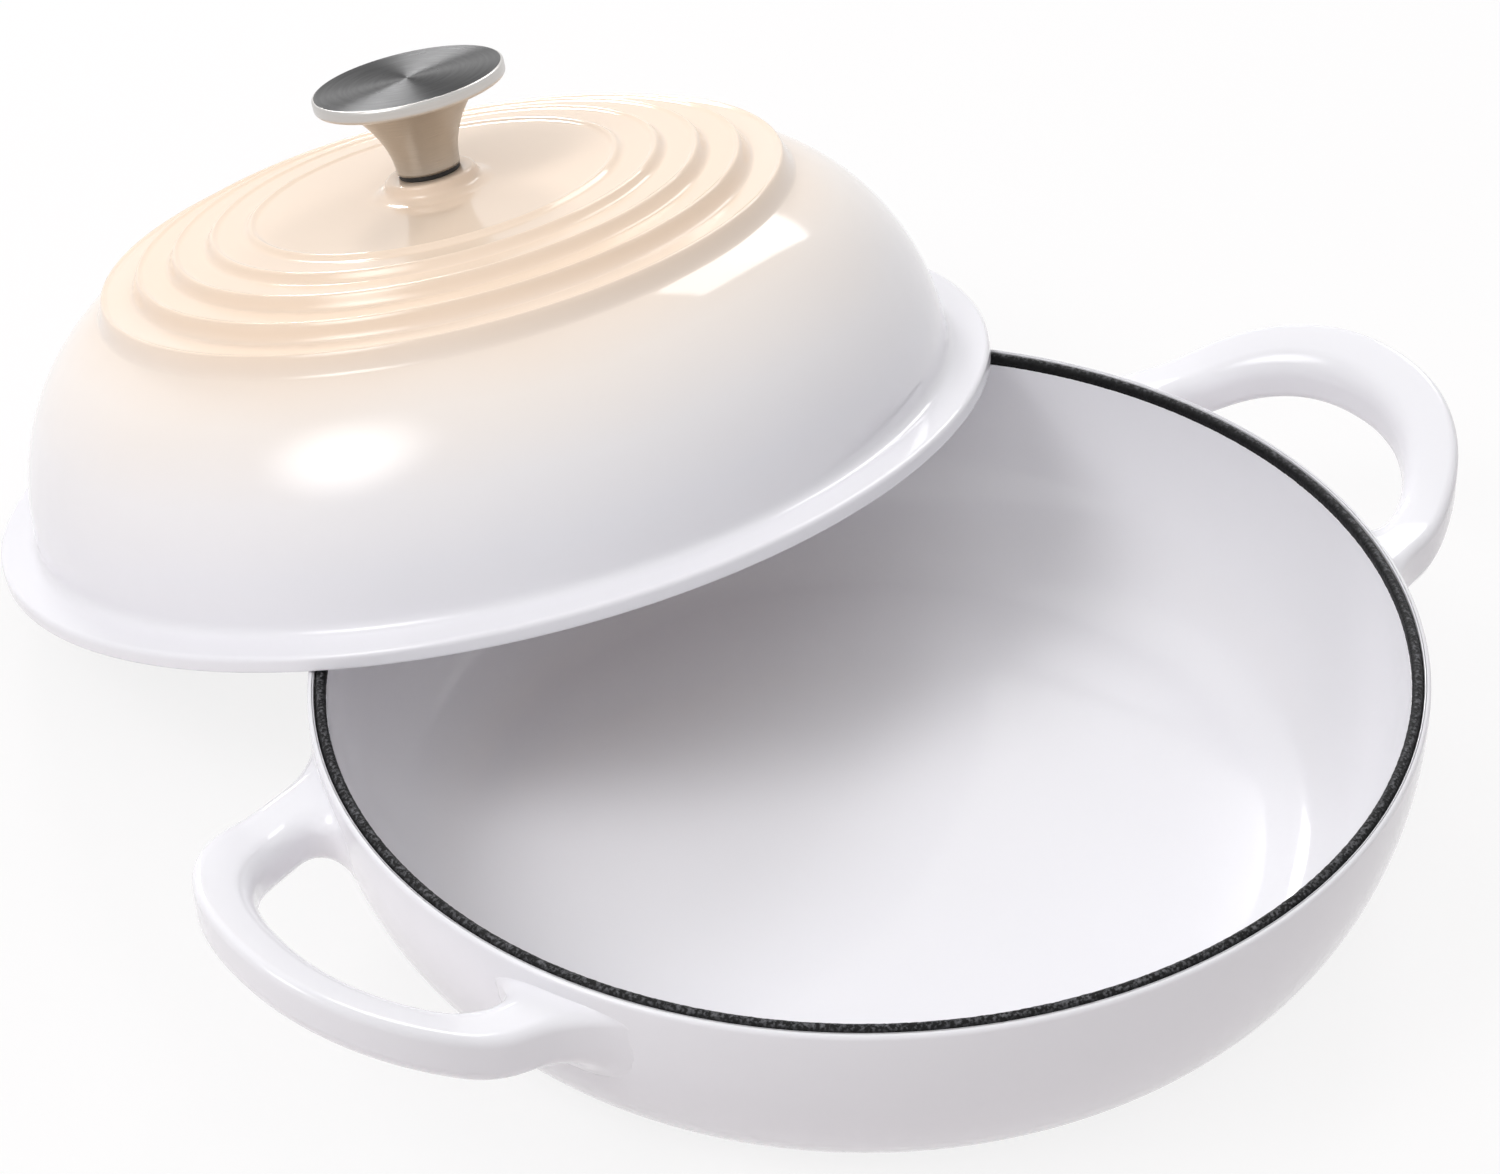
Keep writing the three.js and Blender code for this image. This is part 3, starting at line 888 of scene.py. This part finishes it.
def pale_floor(whiteness):
    """White where it is seen, with some of its own shading round the object for the shadow."""
    half = FLOOR_SIZE / 2
    corners = [(-half, -half, 0), (half, -half, 0), (half, half, 0), (-half, half, 0)]
    floor = new_piece("floor", corners, [(0, 1, 2, 3)])
    material = bpy.data.materials.new("pale_floor")
    material.use_nodes = True
    tree = material.node_tree
    tree.nodes.clear()
    matt = put(tree, "ShaderNodeBsdfDiffuse", {"Color": FLOOR_MATT})
    glow = put(tree, "ShaderNodeEmission", {"Color": PURE_WHITE, "Strength": 1.0})
    away = length(tree, object_place(tree))
    level = spread_over(tree, away, FLOOR_FADE_START, FLOOR_FADE_END, to_low=whiteness,
                        kind="SMOOTHSTEP")
    share = maths(tree, "MULTIPLY", seen_directly(tree), level)
    mixed = put(tree, "ShaderNodeMixShader", {0: share, 1: matt.outputs[0], 2: glow.outputs[0]})
    put(tree, "ShaderNodeOutputMaterial", {"Surface": mixed.outputs[0]})
    floor.data.materials.append(material)


SPUN = spun_tree()
SAND_CAST = sand_cast_tree()
FIRED_ENAMEL = fired_enamel_group()
GRAIN = grain_group()
BRUSHING = brushing_group()


def make_pan():
    enamel = white_enamel()
    iron = bare_iron()
    set_on(spun_piece("pan", pan_profile(), enamel, ROUND), "pan", "white_enamel", "base_pan")
    rim = spun_piece("bare_rim", rim_profile(), iron, RIM_ROUND)
    shaped_by(rim, SAND_CAST, Grain=SAND_GRAIN, Depth=SAND_DEPTH, Material=iron)
    set_on(rim, "pan", "bare_iron", "base_rim")
    set_on(handle_piece("right_handle", enamel, 0), "pan", "white_enamel", "handle_right")
    set_on(handle_piece("left_handle", enamel, math.pi), "pan", "white_enamel", "handle_left")


def lid_piece(name, profile, material, segments, slot, node):
    piece = spun_piece(name, profile, material, segments)
    piece.data.transform(LEANING)
    set_on(piece, "lid", slot, node)
    return piece


def brush_top(cap, material):
    """Gives the cap's flat top a brushed steel of its own, painted near-black as a painted dark
    reflection. Its edge stays polished.
    """
    cap.data.materials.append(material)
    brushed = len(cap.data.materials) - 1
    axis = LEANING.to_3x3() @ Vector((0, 0, 1))
    for face in cap.data.polygons:
        if face.normal.dot(axis) > TOP_FACING:
            face.material_index = brushed


def make_lid():
    lid_piece("dome", lid_profile(), cream_enamel(), ROUND, "cream_enamel", "lid_dome")
    edge_steel = brushed_steel("edge_steel", CAP_EDGE_STEEL, lines=60, contrast=0.1, spread=0.3)
    # The top's steel is painted near-black: a painted dark reflection.
    dark_painted_face_steel = brushed_steel("dark_painted_face_steel", CAP_TOP_PAINTED_DARK, lines=320, contrast=0.6, spread=0.98)
    stem_steel = brushed_steel("stem_steel", STEM_STEEL, lines=120, contrast=0.25, spread=0.8)
    cap = lid_piece("cap", cap_profile(), edge_steel, KNOB_ROUND, "knob_steel", "knob_cap")
    brush_top(cap, dark_painted_face_steel)
    lid_piece("stem", stem_profile(), stem_steel, KNOB_ROUND, "knob_steel", "knob_stem")
    lid_piece("gasket", gasket_profile(), gasket_fibre(), KNOB_ROUND, "gasket", "knob_gasket")
    steel = plain_steel()
    for node in ("knob_washer", "knob_screw"):
        frame["nodes"][node].data.materials.clear()
        frame["nodes"][node].data.materials.append(steel)


def make_studio():
    bpy.context.scene.view_settings.view_transform = "Standard"
    aimed_camera()
    white_world(horizon=0.12, zenith=0.74)
    pale_floor(whiteness=0.84)
    softbox("left_softbox", (-1.25, 0.3, 1.6), LID_SIDE, size=(1.6, 1.6), power=22, soft=True)
    softbox("window", (1.29, 0.81, 1.19), LID_SIDE, size=(0.45, 1.0), power=7)
    softbox("front_fill", (-0.5, -1.0, 1.9), PAN_INSIDE, size=(1.5, 1.5), power=6, mirrored=False)
    softbox("back_light", (0.46, 1.51, 0.66), KNOB_TOP, size=(0.3, 0.3), power=7)


make_pan()
make_lid()
make_studio()
